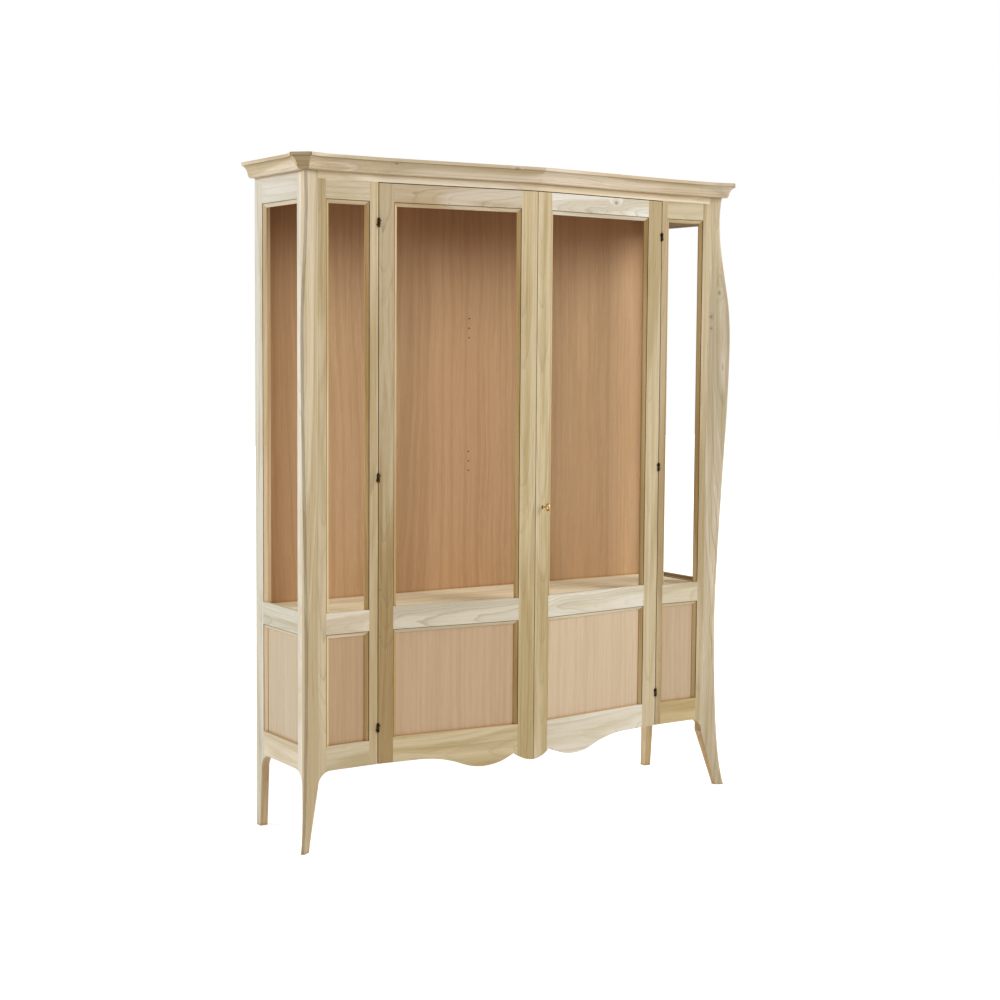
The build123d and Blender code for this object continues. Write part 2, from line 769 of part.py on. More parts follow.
# Barrel hinges: a lower half with its pin on the case, an upper half on the door
for side, side_name in SIDES:
    case_dir = stem_direction(side, False)
    door_dir = stem_direction(side, True)

    with BuildPart() as hinge_lower:
        for z in hinge_z:
            for low, height, radius in ((z - barrel_half, barrel_half - barrel_gap / 2, barrel_r),
                                        (z - barrel_half, barrel_half + pin_reach, pin_d / 2)):
                with BuildSketch(Plane.XY.offset(low)) as disc:
                    with Locations((side * hinge_x, barrel_y)):
                        Circle(radius)
                extrude(disc.sketch, amount=height)
            root = (side * hinge_x, barrel_y, z - barrel_half / 2)
            with BuildSketch(Plane(origin=root, z_dir=case_dir)) as rod:
                Circle(stem_d / 2)
            extrude(rod.sketch, amount=stem_l)
    save(hinge_lower, f"hinge_lower_{side_name}")

    with BuildPart() as hinge_upper:
        for z in hinge_z:
            with BuildSketch(Plane.XY.offset(z + barrel_gap / 2)) as disc:
                with Locations((side * hinge_x, barrel_y)):
                    Circle(barrel_r)
            extrude(disc.sketch, amount=barrel_half - barrel_gap / 2)
            root = (side * hinge_x, barrel_y, z + barrel_half / 2)
            with BuildSketch(Plane(origin=root, z_dir=door_dir)) as rod:
                Circle(stem_d / 2)
            extrude(rod.sketch, amount=stem_l)
            with BuildSketch(Plane.XY.offset(z)) as bore:
                with Locations((side * hinge_x, barrel_y)):
                    Circle(pin_d / 2 + pin_fit)
            extrude(bore.sketch, amount=pin_reach + 0.5, mode=Mode.SUBTRACT)
    save(hinge_upper, f"hinge_upper_{side_name}")


# Lock in the right door's meeting stile, with its bolt and key
face = door_plane(1)
edge_u = door_length - meeting_gap / 2

bolt_room = (bolt_near - fit, bolt_near + lock_bolt_t + fit)
room_end = edge_u - lock_bolt_l - 1
case_bottom, case_top = lock_z - lock_case_h / 2, lock_z + lock_case_h / 2


def cut_key_socket():
    """Round hole through the lock for the key's shank."""
    with BuildSketch(face.offset(-case_near + 1)) as socket:
        with Locations((-lock_u, lock_z)):
            Circle(key_shank_d / 2 + key_fit)
    extrude(socket.sketch, amount=-lock_case_t - 2, mode=Mode.SUBTRACT)


with BuildPart() as lock_plates:
    for near, far in ((case_near, bolt_room[0]), (bolt_room[1], frame_t)):
        slab(face, -(lock_u - lock_case_w / 2 + fit), -(edge_u - 0.5), case_bottom, case_top, near, far)
    cut_key_socket()
save(lock_plates, "lock_plates")

with BuildPart() as lock_case:
    slab(face, -(lock_u - lock_case_w / 2 + fit), -room_end, case_bottom, case_top, *bolt_room)
    cut_key_socket()
    half_room = lock_bolt_h / 2 + fit
    for low, high in ((case_bottom, lock_z - half_room), (lock_z + half_room, case_top)):
        slab(face, -(room_end + fit), -(edge_u - 0.5), low, high, *bolt_room)
save(lock_case, "lock_case")

with BuildPart() as lock_bolt:
    slab(face, -(edge_u - 0.5 - lock_bolt_l), -(edge_u - 0.5), lock_z - lock_bolt_h / 2,
         lock_z + lock_bolt_h / 2, bolt_near, bolt_near + lock_bolt_t)
save(lock_bolt, "lock_bolt")

key_tip = case_near + 6
key_out = key_shank_l - key_tip
with BuildPart() as key:
    with BuildSketch(face.offset(-key_tip)) as shank:
        with Locations((-lock_u, lock_z)):
            Circle(key_shank_d / 2)
    extrude(shank.sketch, amount=key_shank_l)
    with BuildSketch(face.offset(key_out - 16)) as collar:
        with Locations((-lock_u, lock_z)):
            Circle(key_shank_d / 2 + 1.2)
    extrude(collar.sketch, amount=2.5)
    bow_plane = Plane(origin=face.from_local_coords((-lock_u, lock_z, key_out + key_bow_w / 2 - 2)),
                      x_dir=face.z_dir, z_dir=face.x_dir)
    with BuildSketch(bow_plane) as bow:
        Ellipse(key_bow_w / 2, key_bow_h / 2)
        Ellipse(key_bow_w / 2 - 4, key_bow_h / 2 - 4.5, mode=Mode.SUBTRACT)
    extrude(bow.sketch, amount=key_bow_t / 2, both=True)
save(key, "key")


# Slide bolts that hold the left door, in guides on the inside of its meeting stile
face = door_plane(-1)
bolt_u = door_length - bolt_from_edge
bolt_depth = frame_t + bolt_standoff
bolt_rest = (("top", door_top - 1 - bolt_l, 1), ("bottom", bottom_board_top + 1, -1))

with BuildPart() as bolt_guides:
    for name, low, way in bolt_rest:
        middle = low + bolt_l / 2 - way * 2
        slab(face, bolt_u - guide_w / 2, bolt_u + guide_w / 2, middle - guide_l / 2, middle + guide_l / 2,
             frame_t, frame_t + 2)
        for z in (middle - guide_l / 2 + 5, middle + guide_l / 2 - 5):
            slab(face, bolt_u - bolt_d, bolt_u + bolt_d, z - 5, z + 5, frame_t + 2, bolt_depth + bolt_d)
        with BuildSketch(Plane.XY.offset(low - 20)) as bore:
            with Locations(bolt_centre()):
                Circle(bolt_d / 2 + guide_fit)
        extrude(bore.sketch, amount=bolt_l + 40, mode=Mode.SUBTRACT)
save(bolt_guides, "door_bolt_guides")

for name, low, way in bolt_rest:
    with BuildPart() as door_bolt:
        with BuildSketch(Plane.XY.offset(low)) as rod:
            with Locations(bolt_centre()):
                Circle(bolt_d / 2)
        extrude(rod.sketch, amount=bolt_l)
        knob_z = low + bolt_l / 2 - way * (2 + bolt_throw / 2)
        with BuildSketch(face.offset(-bolt_depth)) as knob:
            with Locations((bolt_u, knob_z)):
                Circle(knob_d / 2)
        extrude(knob.sketch, amount=-bolt_d / 2 - knob_l)
    save(door_bolt, f"door_bolt_{name}")
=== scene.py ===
"""Raw wood display cabinet: materials, small fittings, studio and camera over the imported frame."""
from math import atan2, cos, hypot, pi, radians, sin

import bmesh
import bpy
from mathutils import Matrix, Vector


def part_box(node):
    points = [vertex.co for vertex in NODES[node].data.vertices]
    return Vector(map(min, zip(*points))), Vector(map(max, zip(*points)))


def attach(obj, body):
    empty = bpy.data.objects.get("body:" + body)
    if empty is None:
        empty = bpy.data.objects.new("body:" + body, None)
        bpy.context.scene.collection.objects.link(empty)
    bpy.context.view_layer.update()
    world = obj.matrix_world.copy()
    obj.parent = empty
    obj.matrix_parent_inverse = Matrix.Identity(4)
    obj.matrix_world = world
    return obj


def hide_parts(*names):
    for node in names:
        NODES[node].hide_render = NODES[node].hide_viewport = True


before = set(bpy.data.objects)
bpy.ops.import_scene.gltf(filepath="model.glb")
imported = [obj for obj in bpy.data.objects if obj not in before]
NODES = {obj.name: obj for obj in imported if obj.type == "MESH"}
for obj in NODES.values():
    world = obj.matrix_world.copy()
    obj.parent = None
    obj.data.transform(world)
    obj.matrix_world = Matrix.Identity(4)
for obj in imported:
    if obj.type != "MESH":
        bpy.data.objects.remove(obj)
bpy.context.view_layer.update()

# Plan of the case in metres, as in the CAD: the doors meet in a shallow V
HINGE_X = 0.548
DOOR_BOW = 0.057
BEND_RADIUS = 0.4
CORNICE_OUT = 0.045
CASE_DEPTH = 0.352
BODY_HALF = 0.792
POST_SQUARE = 0.036
FRAME_T = 0.022
REAR_POST_T = 0.026
REAR_LEG_W = 0.038
APRON_Z = 0.236
LEG_TOP = 0.191
APRON_RADIUS = 0.045
STILE_W = 0.028
REAR_POST_W = 0.052
BEVEL_W = 0.0125
DOOR_TURN = atan2(DOOR_BOW, HINGE_X)
DOOR_LENGTH = hypot(DOOR_BOW, HINGE_X)
FACE_Y = (DOOR_BOW - BEND_RADIUS * (1 / cos(DOOR_TURN) - 1) + CORNICE_OUT - CASE_DEPTH) / 2


# Node helpers
def rgb(r, g, b):
    """A colour given as it looks on screen, made linear."""
    def linear(c):
        c /= 255
        return c / 12.92 if c <= 0.04045 else ((c + 0.055) / 1.055) ** 2.4
    return (linear(r), linear(g), linear(b), 1)


def new_material(name):
    """An empty node material with its tree and shader."""
    material = bpy.data.materials.new(name)
    material.use_nodes = True
    tree = material.node_tree
    tree.nodes.clear()
    output = tree.nodes.new("ShaderNodeOutputMaterial")
    shader = tree.nodes.new("ShaderNodeBsdfPrincipled")
    tree.links.new(shader.outputs["BSDF"], output.inputs["Surface"])
    return material, tree, shader


def add(tree, kind, inputs=None, **settings):
    """Add a node, set its options and fill or link its inputs."""
    node = tree.nodes.new("ShaderNode" + kind)
    for key, value in settings.items():
        setattr(node, key, value)
    for key, value in (inputs or {}).items():
        socket = node.inputs[key]
        if isinstance(value, bpy.types.NodeSocket):
            tree.links.new(value, socket)
        else:
            socket.default_value = value
    return node


def ramp(tree, factor, stops, ease="LINEAR"):
    """A colour ramp through grey or colour stops; gives its colour output."""
    node = add(tree, "ValToRGB", {"Fac": factor})
    node.color_ramp.interpolation = ease
    elements = node.color_ramp.elements
    while len(elements) > 1:
        elements.remove(elements[-1])
    for index, (place, value) in enumerate(stops):
        element = elements[0] if index == 0 else elements.new(place)
        element.position = place
        element.color = value if isinstance(value, tuple) else (value, value, value, 1)
    return node.outputs["Color"]


def mix(tree, factor, a, b, blend="MIX"):
    """Mix two colours."""
    node = add(tree, "Mix", data_type="RGBA", blend_type=blend)
    # A Mix node has a set of sockets for each kind of data: 6, 7 and output 2 are the colours
    for index, value in ((0, factor), (6, a), (7, b)):
        if isinstance(value, bpy.types.NodeSocket):
            tree.links.new(value, node.inputs[index])
        else:
            node.inputs[index].default_value = value
    return node.outputs[2]


def maths(tree, operation, a, b=0.0, c=0.0):
    """One step of arithmetic."""
    return add(tree, "Math", {0: a, 1: b, 2: c}, operation=operation).outputs[0]


def vector(tree, operation, a, b):
    """One step of vector arithmetic; a SCALE takes a number as its second value."""
    key = "Scale" if operation == "SCALE" else 1
    return add(tree, "VectorMath", {0: a, key: b}, operation=operation).outputs[0]


def noise(tree, place, scale, seed, detail=2.0, rough=0.5, output="Fac"):
    """Noise drawn out by a scale per direction, with its own patch for each seed."""
    corner = (seed * 7.31 % 50, seed * 3.77 % 50, seed * 5.13 % 50)
    patch = add(tree, "Mapping", {"Vector": place, "Scale": scale, "Location": corner}).outputs[0]
    settings = {"Vector": patch, "Scale": 1.0, "Detail": detail, "Roughness": rough}
    return add(tree, "TexNoise", settings).outputs[output]


def offset_from(tree, place, spot, size):
    """Distance from a spot as a share of a size given for each direction."""
    local = vector(tree, "SUBTRACT", place, spot)
    share = vector(tree, "DIVIDE", local, size)
    return add(tree, "VectorMath", {0: share}, operation="LENGTH").outputs[1]


# Wood: each board has its own width, thickness and length as local X, Y and Z
BOARD_AXES = {"front_up": "XYZ", "front_across": "ZYX", "side_up": "YXZ", "side_along": "ZXY",
              "flat_across": "YZX", "flat_along": "XZY"}
BEVELLED = ("corner_post", "light_", "side_", "door_", "rear_post", "back_panel")
FOLD_SHIFT = 0.31
KNOT_COLOUR = (134, 104, 70)
KNOT_DEPTH = 0.05
KNOT_BEND = 0.02
ARRIS_RADIUS = 0.0012
CREVICE_REACH = 0.012
GRAIN_RELIEF = 0.00025
# Painted shade in inner corners and gaps, darker the more closed in they are
CREVICE_SHADE_TONES = ((0.0, (0.05, 0.03, 0.015, 1)), (0.16, (0.20, 0.125, 0.06, 1)),
                 (0.40, (0.72, 0.60, 0.45, 1)), (0.66, (0.93, 0.87, 0.79, 1)), (0.92, 1.0))


def tinted(tone, factors, amount=1.0):
    """A tone made lighter or darker by a factor for each of red, green and blue."""
    return tuple(c * (1 + (factor - 1) * amount) for c, factor in zip(tone, factors)) + (1,)


def folded_place(tree, place):
    """Place on a board that bends at the middle of the front, so its halves share one straight pattern."""
    parts = add(tree, "SeparateXYZ", {0: place}).outputs
    half = maths(tree, "ABSOLUTE", parts["X"])
    shift = maths(tree, "MULTIPLY", maths(tree, "GREATER_THAN", parts["X"], 0.0), FOLD_SHIFT)
    height = maths(tree, "ADD", parts["Z"], shift)
    return add(tree, "CombineXYZ", {"X": half, "Y": parts["Y"], "Z": height}).outputs[0]


def board_place(tree, place, middle, turn, cut, inward):
    """Width and length of a board at each point, and its full local place with the depth between."""
    flat = add(tree, "Mapping", {"Vector": place, "Location": middle, "Rotation": (0, 0, turn)},
               vector_type="TEXTURE").outputs[0]
    parts = add(tree, "SeparateXYZ", {0: flat}).outputs
    width, depth, length = (parts[axis] for axis in BOARD_AXES[cut])
    if cut.startswith("side"):
        depth = maths(tree, "MULTIPLY", depth, float(inward))
    return width, length, add(tree, "CombineXYZ", {"X": width, "Y": depth, "Z": length}).outputs[0]


def wandering(tree, board, seed, wave):
    """Place on a board, moved by the slow and the quick wander of its fibres."""
    centre = (0.5, 0.5, 0.5)
    slow = noise(tree, board, (8, 8, 2.2), seed, 1.0, output="Color")
    quick = noise(tree, board, (38, 38, 11), seed + 3, 2.0, output="Color")
    slow = vector(tree, "SUBTRACT", slow, centre)
    quick = vector(tree, "SUBTRACT", quick, centre)
    bent = vector(tree, "ADD", board, vector(tree, "SCALE", slow, wave * 3.2))
    return vector(tree, "ADD", bent, vector(tree, "SCALE", quick, wave * 0.45))


def growth_rings(tree, place, board, bent, gap, pith, lean, knots, seed):
    """Distance from the pith, bent round the knots, and how strongly late wood shows in each ring."""
    tilt = (radians(lean), radians(lean * 0.35), 0)
    round_pith = add(tree, "Mapping", {"Vector": bent, "Location": (pith[0], pith[1], 0),
                                       "Rotation": tilt}).outputs[0]
    across = vector(tree, "MULTIPLY", round_pith, (1, 1, 0))
    radius = add(tree, "VectorMath", {0: across}, operation="LENGTH").outputs[1]
    for spot, wide, tall in knots:
        near = offset_from(tree, place, spot, (wide * 2.6, 0.08, tall * 2.6))
        push = ramp(tree, near, ((0.0, 1.0), (1.0, 0.0)), "EASE")
        radius = maths(tree, "MULTIPLY_ADD", push, KNOT_BEND, radius)
    uneven = maths(tree, "MULTIPLY_ADD", radius, 34.0, seed * 1.7)
    spread = add(tree, "TexNoise", {"W": uneven, "Scale": 1.0, "Detail": 1.0},
                 noise_dimensions="1D").outputs["Fac"]
    count = maths(tree, "MULTIPLY_ADD", spread, 3.4, maths(tree, "DIVIDE", radius, gap))
    season = maths(tree, "FRACT", count)
    year = maths(tree, "ADD", maths(tree, "FLOOR", count), seed * 0.37)
    vigour = add(tree, "TexWhiteNoise", {"W": year}, noise_dimensions="1D").outputs["Value"]
    late = ramp(tree, season, ((0.0, 0.0), (0.5, 0.06), (0.78, 0.3), (0.92, 1.0), (0.97, 0.9), (1.0, 0.0)))
    patchy = ramp(tree, noise(tree, board, (14, 14, 4), seed + 9, 1.0), ((0.35, 0.35), (0.65, 1.0)))
    rings = maths(tree, "MULTIPLY", late, maths(tree, "MULTIPLY_ADD", vigour, 0.8, 0.2))
    return radius, maths(tree, "MULTIPLY", rings, patchy)


def heartwood_share(tree, radius, bent, length, bands, share, rise, seed):
    """Where the darker heartwood lies, in bands that follow the rings; rise moves it along the board."""
    along_radius = maths(tree, "MULTIPLY_ADD", radius, bands, seed * 2.9 + 11)
    band = add(tree, "TexNoise", {"W": along_radius, "Scale": 1.0, "Detail": 2.0},
               noise_dimensions="1D").outputs["Fac"]
    cloud = noise(tree, bent, (20, 20, 1.4), seed + 5, 2.0)
    band = maths(tree, "MULTIPLY_ADD", cloud, 0.5, maths(tree, "MULTIPLY", band, 0.5))
    band = maths(tree, "MULTIPLY_ADD", length, -rise, band)
    start = 0.62 - 0.3 * share
    return ramp(tree, band, ((start - 0.07, 0.0), (start + 0.1, 1.0)), "EASE")


def with_streaks(tree, colour, bent, streak, seed):
    """Long darker and paler streaks over a colour."""
    dark = tinted((1, 1, 1), (0.88, 0.83, 0.70), streak)
    pale = tinted((1, 1, 1), (1.06, 1.07, 1.10), streak)
    streaks = noise(tree, bent, (150, 150, 1.1), seed + 6, 2.0, 0.6)
    tone = ramp(tree, streaks, ((0.36, dark), (0.47, 1.0), (0.56, 1.0), (0.68, pale)))
    return mix(tree, 1.0, colour, tone, "MULTIPLY")


def with_knots(tree, colour, place, knots, line):
    """A soft halo and a brown eye for each knot."""
    for spot, wide, tall in knots:
        near = offset_from(tree, place, spot, (wide * 1.5, KNOT_DEPTH, tall * 1.5))
        inside = offset_from(tree, place, spot, (wide * 0.6, KNOT_DEPTH, tall * 0.55))
        halo = ramp(tree, near, ((0.0, 0.6), (0.55, 0.38), (1.0, 0.0)), "EASE")
        eye = ramp(tree, inside, ((0.0, 0.75), (0.5, 0.6), (1.0, 0.0)), "EASE")
        colour = mix(tree, halo, colour, line)
        colour = mix(tree, eye, colour, rgb(*KNOT_COLOUR))
    return colour


def cut_faces(tree, name, cut, turn, inward):
    """Mask of a board's bevels and edges: all that isn't square on to its face."""
    normal = add(tree, "TexCoord").outputs["Normal"]
    # On a corner post the mask takes the faces turned in towards the middle, which the edge tone browns as
    # painted shade
    if name.startswith("corner_post"):
        towards = add(tree, "VectorMath", {0: normal, 1: (inward, 0, 0)}, operation="DOT_PRODUCT")
        square_on = maths(tree, "SUBTRACT", 1.0, towards.outputs["Value"])
        return ramp(tree, square_on, ((0.1, 1.0), (0.3, 0.0)))
    outward = (sin(turn), -cos(turn), 0) if cut.startswith("front") else (1, 0, 0)
    facing = add(tree, "VectorMath", {0: normal, 1: outward}, operation="DOT_PRODUCT")
    square_on = maths(tree, "ABSOLUTE", facing.outputs["Value"])
    return ramp(tree, square_on, ((0.86, 1.0), (0.95, 0.0)))


def wood(name, cut, tone, contrast=1.0, share=0.4, bands=42.0, ring=0.5, gap=0.006, wave=0.006, lean=2.0,
         pith=(0.01, 0.09), heart=(0.84, 0.80, 0.69), turn=0.0, folded=False, seed=0, knots=(), rough=0.62,
         fibre=0.07, edge=None, rise=0.0, streak=1.0, shaded_top=None, shade_across=()):
    """Planed, unfinished board of one tone, with darker heartwood bands and growth rings.

    The rings, gap apart, run round a pith beside and behind the face, and lean tips it, which
    draws arches. wave is how far the fibres wander and bands how close the heartwood lies.
    edge tints the bevels, partly as painted shade and light; shaded_top darkens the top and shade_across
    shades the width, both as painted shade.
    """
    sap = tinted(tone, (1.09, 1.11, 1.15), contrast)
    heart = tinted(tone, heart, contrast)
    line = tinted(tone, (0.56, 0.51, 0.42), min(1.0, 0.5 + 0.5 * contrast))
    material, tree, shader = new_material(name + "_wood")
    low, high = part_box(name)
    middle = tuple((a + b) / 2 for a, b in zip(low, high))
    inward = -1 if middle[0] > 0 else 1
    place = add(tree, "TexCoord").outputs["Object"]
    if folded:
        place = folded_place(tree, place)
        middle = (0, middle[1], middle[2])
    width, length, board = board_place(tree, place, middle, turn, cut, inward)
    bent = wandering(tree, board, seed, wave)
    radius, rings = growth_rings(tree, place, board, bent, gap, pith, lean, knots, seed)
    heartwood = heartwood_share(tree, radius, bent, length, bands, share, rise, seed)
    fibres = noise(tree, bent, (460, 460, 8), seed + 1, 3.0, 0.7)
    flecks = ramp(tree, noise(tree, bent, (820, 820, 34), seed + 2, 1.0), ((0.63, 0.0), (0.75, 1.0)))

    # The face
    colour = mix(tree, heartwood, sap, heart)
    colour = mix(tree, maths(tree, "MULTIPLY", rings, ring), colour, line)
    shade = ramp(tree, fibres, ((0.25, 1 - fibre), (0.75, 1 + fibre * 0.7)))
    colour = mix(tree, 1.0, colour, shade, "MULTIPLY")
    if cut.endswith(("across", "along")):
        streak = streak * 0.6
    colour = with_streaks(tree, colour, bent, streak, seed)
    # Painted shade: the upper part of the board darkened
    if shaded_top:
        top = ramp(tree, length, ((0.55, 1.0), (0.86, shaded_top + (1,))), "EASE")
        colour = mix(tree, 1.0, colour, top, "MULTIPLY")
    # Painted shade: lighter and darker bands across the width of the board
    if shade_across:
        share_across = maths(tree, "MULTIPLY_ADD", width, 0.6, 0.5)
        colour = mix(tree, 1.0, colour, ramp(tree, share_across, shade_across), "MULTIPLY")
    colour = mix(tree, maths(tree, "MULTIPLY", flecks, 0.3), colour, line)
    colour = with_knots(tree, colour, place, knots, line)

    # Bevels and edges get another tone than the face, partly for their cut fibres and partly as painted
    # shade and painted light: the browner tone on upright boards is painted shade, BRIGHT is painted light
    if edge is None:
        edge = (1.0, 0.84, 0.60) if cut.endswith("up") else (1.12, 1.07, 0.96)
    if name.startswith(BEVELLED):
        tinted_edge = mix(tree, 1.0, colour, edge + (1,), "MULTIPLY")
        colour = mix(tree, cut_faces(tree, name, cut, turn, inward), colour, tinted_edge)

    # Softened arrises, rougher from handling and a little paler, partly as wear and partly as a painted
    # highlight
    arris = add(tree, "Bevel", {"Radius": ARRIS_RADIUS}, samples=4).outputs[0]
    flat_normal = add(tree, "NewGeometry").outputs["True Normal"]
    straight = add(tree, "VectorMath", {0: arris, 1: flat_normal}, operation="DOT_PRODUCT").outputs["Value"]
    lightened = ramp(tree, straight, ((0.72, 1.0), (0.99, 0.0)))
    pale = mix(tree, 0.5, sap, (1, 1, 1, 1))
    colour = mix(tree, maths(tree, "MULTIPLY", lightened, 0.25), colour, pale)

    # Painted shade: inner corners and gaps darkened and browned by ambient occlusion, near black in the
    # tightest, and without a shine
    open_sky = add(tree, "AmbientOcclusion", {"Distance": CREVICE_REACH}, samples=6).outputs["AO"]
    colour = mix(tree, 1.0, colour, ramp(tree, open_sky, CREVICE_SHADE_TONES), "MULTIPLY")
    tree.links.new(colour, shader.inputs["Base Color"])
    tree.links.new(maths(tree, "MULTIPLY", open_sky, 0.3), shader.inputs["Specular IOR Level"])
    grit = maths(tree, "MULTIPLY_ADD", fibres, 0.16, rough - 0.08)
    tree.links.new(maths(tree, "MULTIPLY_ADD", lightened, 0.08, grit), shader.inputs["Roughness"])
    relief = maths(tree, "MULTIPLY_ADD", rings, 0.5, maths(tree, "SUBTRACT", fibres, flecks))
    bump = add(tree, "Bump", {"Height": relief, "Strength": 0.35, "Distance": GRAIN_RELIEF,
                              "Normal": arris}).outputs[0]
    tree.links.new(bump, shader.inputs["Normal"])
    return material


# Metal
def metal(name, colour, dark, rough, grain=(90, 90, 90)):
    """Small cast or drawn fitting, duller in the hollows and with fine scratches."""
    material, tree, shader = new_material(name)
    place = add(tree, "TexCoord").outputs["Object"]
    patches = noise(tree, place, grain, 4, 4.0, 0.65)
    lightened = ramp(tree, patches, ((0.35, 0.0), (0.62, 1.0)))
    tree.links.new(mix(tree, lightened, dark, colour), shader.inputs["Base Color"])
    scratches = noise(tree, place, (2600, 2600, 2600), 8)
    tree.links.new(maths(tree, "MULTIPLY_ADD", scratches, 0.18, rough - 0.09), shader.inputs["Roughness"])
    shader.inputs["Metallic"].default_value = 1.0
    bump = add(tree, "Bump", {"Height": patches, "Strength": 0.2, "Distance": 0.0002}).outputs[0]
    tree.links.new(bump, shader.inputs["Normal"])
    return material


def dress(node, material):
    """Give a CAD node one material all over."""
    mesh_object = NODES[node]
    if not mesh_object.material_slots:
        mesh_object.data.materials.append(material)
    for slot in mesh_object.material_slots:
        slot.material = material


# Each row: node, cut and tone, then what differs from a plain board
RAIL = {"streak": 0.4, "ring": 0.85, "wave": 0.012, "lean": 3.2, "gap": 0.0048, "contrast": 0.8}
PANEL = {"gap": 0.0028, "pith": (0.6, 0.2), "wave": 0.004, "ring": 0.28, "contrast": 0.3, "bands": 70.0,
         "heart": (0.88, 0.83, 0.78), "fibre": 0.12, "streak": 0.12}
# Painted light: bevels on the lit side of an opening made paler
BRIGHT = (1.1, 1.03, 0.9)  # bevels on the light side of an opening
# Painted shade across the back: darker and lighter bands along its width, as the openings let in more or
# less light
BACK_SHADE_ACROSS = ((0.06, (0.73, 0.64, 0.55, 1)), (0.17, (0.95, 0.94, 0.93, 1)), (0.5, (0.84, 0.78, 0.74, 1)),
              (0.74, 1.0))  # along the width of the back
BOARDS = [
    ("corner_post_left", "front_up", (195, 178, 148), {"share": 0.5, "rise": 0.12}),
    ("corner_post_right", "front_up", (217, 202, 175), {"ring": 0.9, "wave": 0.012, "contrast": 0.8}),
    ("side_top_rail_left", "side_along", (205, 199, 185), {"contrast": 0.6}),
    ("side_mid_rail_left", "side_along", (198, 191, 172), {"contrast": 0.7, "wave": 0.012, "ring": 0.6}),
    ("side_bottom_rail_left", "side_along", (213, 200, 177), {}),
    ("side_front_stile_left", "side_up", (215, 207, 190), {"share": 0.35, "contrast": 0.7}),
    ("side_top_rail_right", "side_along", (205, 199, 185), {"contrast": 0.6}),
    ("side_mid_rail_right", "side_along", (203, 194, 172), {"contrast": 0.7, "wave": 0.012, "ring": 0.6}),
    ("side_bottom_rail_right", "side_along", (212, 199, 174), {}),
    ("side_front_stile_right", "side_up", (212, 203, 181), {"share": 0.5}),
    ("light_top_rail_left", "front_across", (205, 190, 163), {"share": 0.5}),
    ("light_mid_rail_left", "front_across", (216, 203, 181), RAIL),
    ("light_bottom_rail_left", "front_across", (199, 183, 152), {"share": 0.6}),
    ("light_outer_stile_left", "front_up", (197, 178, 143), {"edge": BRIGHT}),
    ("light_hinge_stile_left", "front_up", (198, 178, 142), {}),
    ("light_top_rail_right", "front_across", (189, 173, 141), {}),
    ("light_mid_rail_right", "front_across", (200, 186, 157), RAIL),
    ("light_bottom_rail_right", "front_across", (193, 171, 127), {"share": 0.6}),
    ("light_outer_stile_right", "front_up", (186, 168, 134), {}),
    ("light_hinge_stile_right", "front_up", (176, 154, 117), {"edge": BRIGHT}),
    ("head_rail", "front_across", (226, 210, 182), {"folded": True, "turn": DOOR_TURN, "contrast": 0.7}),
    ("cornice_front", "front_across", (214, 197, 171),
     {"folded": True, "turn": DOOR_TURN, "wave": 0.01}),
    ("cornice_corner_left", "front_across", (186, 164, 127), {"turn": radians(-45)}),
    ("cornice_corner_right", "front_across", (206, 188, 158), {"turn": radians(45)}),
]
